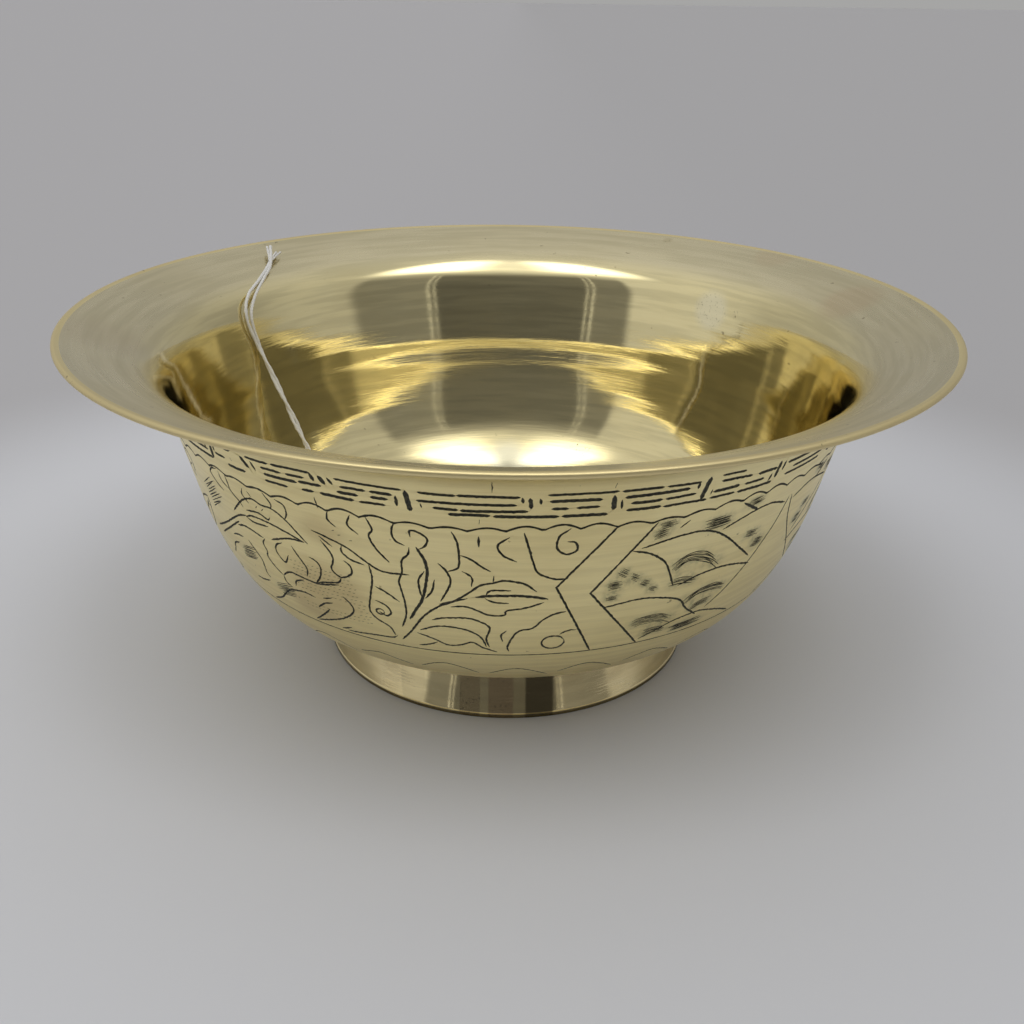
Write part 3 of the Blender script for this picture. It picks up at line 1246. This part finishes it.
# The tag string's middle line, in metres, from its cut end on the lip down to its eye on the bowl's floor
STRING_ROUTE = [
    (-0.0859, 0.0795, 0.1051),
    (-0.0857, 0.0725, 0.1034),
    (-0.0855, 0.0662, 0.1014),
    (-0.0861, 0.0600, 0.0996),
    (-0.0870, 0.0548, 0.0979),
    (-0.0878, 0.0503, 0.0963),
    (-0.0882, 0.0467, 0.0945),
    (-0.0883, 0.0441, 0.0925),
    (-0.0881, 0.0426, 0.0902),
    (-0.0877, 0.0421, 0.0877),
    (-0.0870, 0.0421, 0.0850),
    (-0.0859, 0.0422, 0.0810),
    (-0.0845, 0.0421, 0.0773),
    (-0.0812, 0.0407, 0.0700),
    (-0.0776, 0.0392, 0.0620),
    (-0.0740, 0.0377, 0.0540),
    (-0.0704, 0.0362, 0.0460),
    (-0.0667, 0.0346, 0.0380),
    (-0.0643, 0.0336, 0.0325),
    (-0.0620, 0.0326, 0.0260),
    (-0.0575, 0.0302, 0.0233),
    (-0.0520, 0.0266, 0.0211),
    (-0.0465, 0.0218, 0.0200),
    (-0.0422, 0.0152, 0.0198),
    (-0.0402, 0.0076, 0.0198),
    (-0.0398, 0.0015, 0.0198),
]


def directions(points):
    """The way a line runs at each of its points."""
    run = np.gradient(points, axis=0)
    return run / np.linalg.norm(run, axis=1)[:, None]


def tube(points, radii, pitch, sides):
    """The points and faces of one closed tube along a line, ribbed like two plies that turn once a pitch."""
    run = directions(points)
    along = distances(points)
    up = np.cross(run[0], (0.3, 0.5, 0.8))
    verts, faces = [], []
    for index, (point, way) in enumerate(zip(points, run)):
        up -= way * up.dot(way)
        up /= np.linalg.norm(up)
        side = np.cross(way, up)
        for corner in range(sides):
            angle = 2 * math.pi * corner / sides
            ply = 1 + 0.17 * math.cos(2 * (angle - 2 * math.pi * along[index] / pitch))
            reach = radii[index] * ply
            verts.append(point + reach * (math.cos(angle) * up + math.sin(angle) * side))
    for ring in range(len(points) - 1):
        for corner in range(sides):
            after = (corner + 1) % sides
            a, b = ring * sides, (ring + 1) * sides
            faces.append((a + corner, a + after, b + after, b + corner))
    faces.append(tuple(reversed(range(sides))))
    faces.append(tuple(range(len(verts) - sides, len(verts))))
    return verts, faces


def tag_string(material):
    """Two strands of cotton: cut ends at the top, loose on the lip, twisted below, an open eye at the end."""
    line = smooth_line(STRING_ROUTE, 0.0004)
    reach = np.hypot(line[:, 0], line[:, 1])
    wall_tilt = np.interp(reach / MM, (0, 50, 70, 85, 100, 104, 112, 127), (0, 5, 40, 62, 74, 45, 28, 25))
    tilt = np.radians(wall_tilt)
    out = line[:, :2] / reach[:, None]
    away = np.stack([-out[:, 0] * np.sin(tilt), -out[:, 1] * np.sin(tilt), np.cos(tilt)], 1)
    run = directions(line)
    side = np.cross(run, away)
    side /= np.linalg.norm(side, axis=1)[:, None]
    lift = np.cross(side, run)
    along = distances(line)
    length = along[-1]
    eye = np.clip((along - (length - EYE_LENGTH)) / EYE_LENGTH, 0, 1)
    gape = np.exp(-(((along - 0.036) / 0.010) ** 2))
    spread = 0.00056 + 0.0007 * gape + 0.0021 * np.sin(math.pi * eye) ** 0.7 - 0.0003 * (eye > 0.999)
    twisted_from = (0, 0.014, 0.05, 0.062, length - EYE_LENGTH)
    turn = np.interp(along, twisted_from, (0.2, 2.4, 3.3, 5.0, 22.0))
    turn[eye > 0] = turn[eye > 0][0]
    splay = np.clip(1 - along / LOOSE_LENGTH, 0, 1)
    rng = np.random.default_rng(8)
    verts, faces = [], []

    def add_tube(points, radii, pitch, sides):
        more, rows = tube(points, radii, pitch, sides)
        faces.extend(tuple(index + len(verts) for index in face) for face in rows)
        verts.extend(more)

    for sign in (1, -1):
        reach = spread + 0.0008 * splay
        flat = np.cos(turn) * reach * sign
        flatten = np.where(eye > 0, 0.15, 0.55)
        high = np.sin(turn) * reach * sign * flatten + 0.0004 * splay * (sign > 0)
        ripple = np.convolve(rng.normal(0, 0.00009, len(line) + 20), np.hanning(21) / 5, "valid")
        start = 0 if sign > 0 else 5
        strand = (line + side * (flat + ripple)[:, None] + lift * high[:, None])[start:]
        radii = np.full(len(strand), STRAND_RADIUS)
        radii[:3] *= (1.15, 1.1, 1.05)
        add_tube(strand, radii, 0.0024, 10)
    share = np.linspace(0, 1, 16)[:, None]
    for index, (lean, rise, size) in enumerate(FRAYS):
        start = line[26]
        end = line[1 + 2 * index] + side[0] * lean * MM + lift[0] * rise * MM
        middle = (start + end) / 2 + lift[10] * 0.5 * MM
        thread = start * (1 - share) ** 2 + 2 * middle * share * (1 - share) + end * share**2
        add_tube(thread, np.full(16, size * MM), 0.0016, 6)
    mesh = bpy.data.meshes.new("tag_string_cotton")
    mesh.from_pydata(verts, [], faces)
    mesh.shade_smooth()
    return add_object("tag_string_cotton", mesh, [material]), line, length


# ---------------------------------------------------------------- stage, light and camera


FLOOR_NEAR = ((0.675, 0.685, 0.735, 1), (0.715, 0.725, 0.765, 1))
FLOOR_FAR = (0.505, 0.50, 0.52, 1)
FLOOR_SHADE = (0.3, 0.3, 0.3, 1)
FLOOR_SPECK = (0.2, 0.18, 0.16, 1)


def pale_floor():
    """A sheet of pale paper, whitest round the bowl."""
    size = 40.0
    mesh = bpy.data.meshes.new("floor")
    corners = [(-size, -size, 0), (size, -size, 0), (size, size, 0), (-size, size, 0)]
    mesh.from_pydata(corners, [], [(0, 1, 2, 3)])
    material, shader, n = new_material("floor_paper", 0.0, 0.95)
    place, _, _, radius, _ = n.turned_place()
    soft = n.noise(place, 2.2, 2.0)
    speck = n.noise(place, 260.0, 2.0)
    colour = n.blend(soft, *FLOOR_NEAR)
    colour = n.blend(n.ease(radius, 0.20, 0.34), colour, FLOOR_FAR)
    colour = n.blend(n.ease(n.place()[1], -0.2, 0.3, 0.0, 0.14), colour, FLOOR_SHADE)
    colour = n.blend(n.ease(speck, 0.79, 0.83, 0.0, 0.6), colour, FLOOR_SPECK)
    n.put(shader.inputs["Base Color"], colour)
    shader.inputs["Specular IOR Level"].default_value = 0.1
    floor = add_object("floor", mesh, [material])


# The light tent's strengths: its wall from low to high and its lamp from the middle to the sides
WALL_STRENGTHS = (0.52, 0.62)
LAMP_STRENGTHS = (0.6, 2.5)
# The share of light that the open front takes away, low down and higher up, and that the half open sides take
OPEN_FRONT = (0.55, 0.44)
HALF_OPEN = 0.52
# The pale twin lines at the front's two edges, FRONT_EDGE degrees to each side
TWIN_LINE = 0.5
FRONT_EDGE = 32
# What only the camera sees behind the floor
BACKDROP = 0.378


def tent_light():
    """A pale light tent all round: brightest overhead, with a darker open front between two pale edges."""
    world = bpy.data.worlds.new("tent")
    bpy.context.scene.world = world
    world.use_nodes = True
    n = Nodes(world.node_tree)
    background = world.node_tree.nodes["Background"]
    split = n.add("ShaderNodeSeparateXYZ")
    n.put(split.inputs[0], n.add("ShaderNodeTexCoord").outputs["Generated"])
    x, y, z = split.outputs

    def in_degrees(angle):
        return n.times(angle, 180 / math.pi)

    def shaded(light, share):
        """The light with a share of it taken away."""
        return n.times(light, n.minus(1.0, share))

    across = in_degrees(n.math("ARCTAN2", x, n.times(y, -1.0)))
    aside = n.math("ABSOLUTE", across)
    up = in_degrees(n.math("ARCSINE", z))
    wall = shaded(n.ease(up, 0, 70, *WALL_STRENGTHS), n.times(x, 0.16))
    behind = n.times(n.ease(y, -0.1, 0.5), n.ease(up, 60, 20))
    wall = shaded(wall, n.times(behind, 0.27))
    lamp_up = n.times(n.ease(up, 45, 64), n.ease(up, 90, 76))
    lamp_across = n.times(n.ease(aside, 80, 55), n.ease(aside, 6, 34, *LAMP_STRENGTHS))
    low = n.ease(up, 49, 35)
    half_open = n.times(n.times(n.ease(across, 68, 62), n.ease(across, -50, -46)), low)
    half_open = n.times(half_open, n.ease(across, -34, -30, 1.25, 1.0))
    open_front = n.times(n.ease(aside, FRONT_EDGE + 1, FRONT_EDGE - 0.5), low)
    bright = n.plus(wall, n.times(lamp_up, lamp_across))
    bright = shaded(bright, n.times(half_open, HALF_OPEN))
    bright = shaded(bright, n.times(open_front, n.ease(up, 12, 19, *OPEN_FRONT)))
    from_edge = n.math("ABSOLUTE", n.minus(aside, FRONT_EDGE))
    from_line = n.math("ABSOLUTE", n.minus(from_edge, 1.25))
    twin = n.times(n.ease(from_line, 0.5, 0.2), low)
    bright = n.plus(bright, n.times(twin, TWIN_LINE))
    seen = n.add("ShaderNodeLightPath").outputs["Is Camera Ray"]
    n.put(background.inputs["Color"], (1.0, 0.995, 0.98, 1))
    n.put(background.inputs["Strength"], n.plus(n.times(seen, BACKDROP), n.times(n.minus(1.0, seen), bright)))


CAMERA_PLACE = (0.0014, -0.3202, 0.1887)
CAMERA_PITCH = 0.438
CAMERA_LEAN = 0.014
CAMERA_LENS = 38.67


def camera():
    """Slightly above the front of the bowl, looking down, with a very slight lean."""
    data = bpy.data.cameras.new("camera")
    data.lens = CAMERA_LENS
    data.sensor_width = 36
    data.clip_start = 0.01
    eye = bpy.data.objects.new("camera", data)
    forward = Vector((0, math.cos(CAMERA_PITCH), -math.sin(CAMERA_PITCH)))
    upward = Vector((0, math.sin(CAMERA_PITCH), math.cos(CAMERA_PITCH)))
    right = Vector((1, 0, 0))
    lean_right = right * math.cos(CAMERA_LEAN) + upward * math.sin(CAMERA_LEAN)
    lean_up = upward * math.cos(CAMERA_LEAN) - right * math.sin(CAMERA_LEAN)
    turn = Matrix((lean_right, lean_up, -forward)).transposed()
    eye.matrix_world = Matrix.Translation(CAMERA_PLACE) @ turn.to_4x4()
    bpy.context.scene.collection.objects.link(eye)
    bpy.context.scene.camera = eye


# ---------------------------------------------------------------- the whole scene

camera()
tent_light()
pale_floor()
bpy.context.scene.view_settings.view_transform = "Standard"

outside_brass = turned_brass(
    "bowl_outside",
    (0.95, 0.83, 0.45, 1),
    (0.80, 0.66, 0.31, 1),
    0.33,
    (0.00045, 0.00002),
    lip=(0.42, (0.84, 0.71, 0.38, 1), (0.72, 0.60, 0.33, 1), 0.1235, 0.1262),
)
inside_brass = turned_brass(
    "bowl_inside",
    (0.91, 0.80, 0.46, 1),
    (0.80, 0.67, 0.34, 1),
    0.045,
    (0.0007, 0.000018),
    lip=(0.27, (0.77, 0.69, 0.46, 1), (0.64, 0.56, 0.34, 1), 0.1008, 0.1085),
    tarnish=0.4,
    streaks=0.3,
    marks=(
        ((0.0715, 0.0675, 0.0878), 0.0075, 1, (0.86, 0.80, 0.58, 1), 0.6, 0.3),
        ((0.0683, 0.0718, 0.0887), 0.0020, 1, (0.80, 0.72, 0.48, 1), 0.2, 0.9),
        ((0.0788, 0.0598, 0.0884), 0.0016, 1, (0.80, 0.72, 0.48, 1), 0.2, 0.9),
        ((0.0272, 0.0735, 0.0311), 0.0050, 1, (0.86, 0.78, 0.50, 1), 0.2, 0.9),
        ((0.0000, 0.0725, 0.0265), 0.0120, 1, (0.66, 0.64, 0.50, 1), 0.7, 0.0),
        ((0.0597, 0.1063, 0.1050), 0.0022, 1, (0.45, 0.38, 0.22, 1), 0.35, 1.0),
        ((0.1091, 0.0296, 0.1018), 0.0120, 1, (0.66, 0.50, 0.30, 1), 0.4, 0.0),
        ((0.0950, 0.0780, 0.1050), 0.0080, 1, (0.66, 0.51, 0.31, 1), 0.3, 0.0),
        ((-0.1120, -0.0250, 0.1030), 0.0160, 1, (0.62, 0.52, 0.34, 1), 0.3, 0.0),
    ),
)
foot_brass = turned_brass(
    "foot_polish",
    (0.88, 0.75, 0.43, 1),
    (0.72, 0.56, 0.28, 1),
    0.06,
    (0.0005, 0.000025),
    tarnish=0.8,
    streaks=0.35,
    marks=(
        ((0.0100, -0.0532, 0.0080), 0.0042, 0.1, (0.17, 0.135, 0.075, 1), 0.88, 0.2),
        ((-0.0010, -0.0545, 0.0080), 0.0036, 0.1, (0.48, 0.33, 0.19, 1), 0.65, 0.5),
        ((-0.0100, -0.0535, 0.0080), 0.0028, 0.1, (0.48, 0.36, 0.20, 1), 0.6, 0.5),
        ((-0.0270, -0.0470, 0.0080), 0.0036, 0.3, (0.50, 0.42, 0.24, 1), 0.4, 0.0),
    ),
    hem=0.0016,
)

string, string_line, string_length = tag_string(white_cotton())
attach(string, "root")
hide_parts("tag_string")

draw_all()
mesh, normals = shell_mesh()
weld(mesh, normals)
shell = add_object("bowl_shell_engraved", mesh, [outside_brass, inside_brass, dark_patina()])
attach(shell, "root")
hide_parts("bowl_shell")

ring = foot_ring(foot_brass)
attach(ring, "root")
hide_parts("foot_ring")

fillet = foot_solder(grey_solder())
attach(fillet, "root")
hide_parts("foot_solder")

print("shell triangles:", sum(len(face.vertices) - 2 for face in mesh.polygons))
print("string length:", round(string_length, 4))
